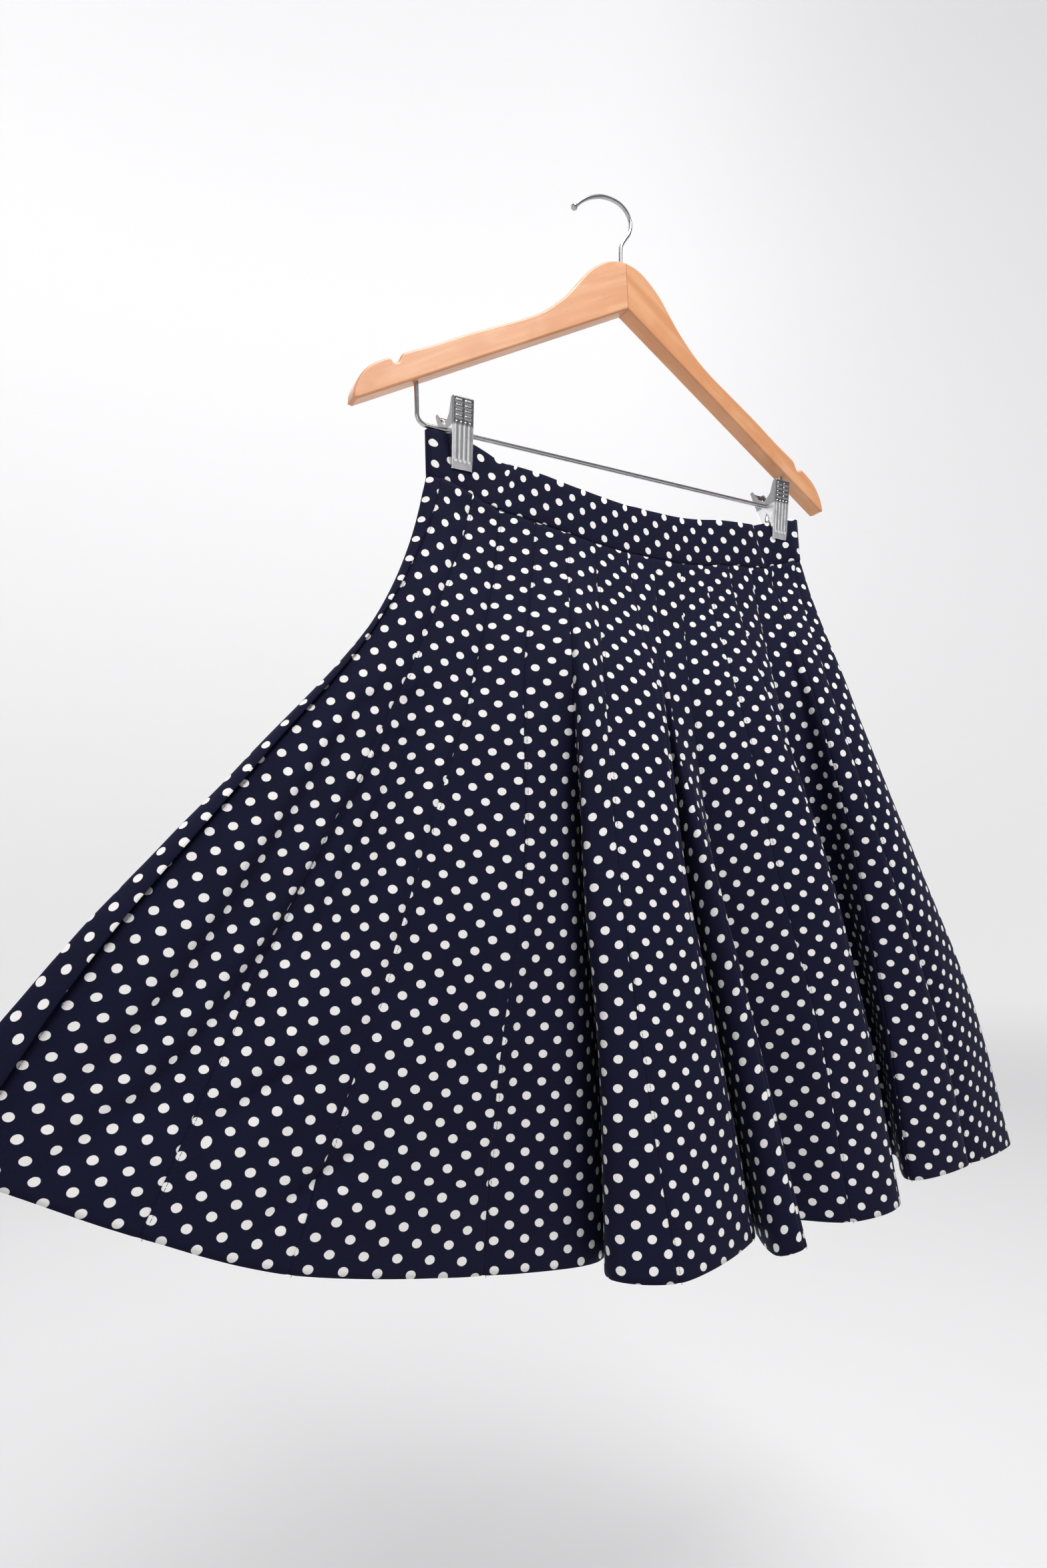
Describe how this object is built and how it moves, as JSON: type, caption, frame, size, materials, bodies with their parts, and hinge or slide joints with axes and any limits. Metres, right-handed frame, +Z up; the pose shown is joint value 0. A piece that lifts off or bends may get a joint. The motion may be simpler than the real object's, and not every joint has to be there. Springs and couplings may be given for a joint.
{
  "type": "gored skirt on a wooden clip hanger",
  "caption": "Flared knee-length skirt of narrow gores in dotted cloth with a contoured waistband, gripped at the waist by the two clips of a wooden hanger.",
  "frame": {"origin": "inner top of the hook's bend, where the hanger hangs on a nail or rail", "axes": "+Z up, -Y towards the viewer (the skirt's front), +X to the viewer's right along the hanger"},
  "size_m": [0.8113, 0.1145, 0.7972],
  "materials": {
    "skirt_cloth": "brushed navy cotton twill with small cream dots",
    "waistband_cloth": "the same dotted cloth, doubled and edge-stitched",
    "beech": "clear-lacquered orange beech",
    "chrome_wire": "polished",
    "pressed_steel": "plated pressed sheet, lightly worn",
    "spring_steel": "drawn wire"
  },
  "bodies": {
    "root": {"hanger_arm_left": "beech", "hanger_arm_right": "beech", "hook": "chrome_wire", "clip_bar": "chrome_wire", "clip_left_front_jaw": "pressed_steel", "clip_left_rear_jaw": "pressed_steel", "clip_left_spring": "spring_steel", "clip_right_front_jaw": "pressed_steel", "clip_right_rear_jaw": "pressed_steel", "clip_right_spring": "spring_steel", "waistband_front": "waistband_cloth", "waistband_back": "waistband_cloth", "gore_front_01": "skirt_cloth", "gore_front_02": "skirt_cloth", "gore_front_03": "skirt_cloth", "gore_front_04": "skirt_cloth", "gore_front_05": "skirt_cloth", "gore_front_06": "skirt_cloth", "gore_front_07": "skirt_cloth", "gore_front_08": "skirt_cloth", "gore_front_09": "skirt_cloth", "gore_front_10": "skirt_cloth", "gore_front_11": "skirt_cloth", "gore_front_12": "skirt_cloth", "gore_front_13": "skirt_cloth", "gore_side_right": "skirt_cloth", "gore_back_01": "skirt_cloth", "gore_back_02": "skirt_cloth", "gore_back_03": "skirt_cloth", "gore_back_04": "skirt_cloth", "gore_back_05": "skirt_cloth", "gore_back_06": "skirt_cloth", "gore_back_07": "skirt_cloth", "gore_back_08": "skirt_cloth", "gore_back_09": "skirt_cloth", "gore_back_10": "skirt_cloth", "gore_back_11": "skirt_cloth", "gore_back_12": "skirt_cloth", "gore_back_13": "skirt_cloth", "gore_side_left": "skirt_cloth"}
  },
  "joints": []
}
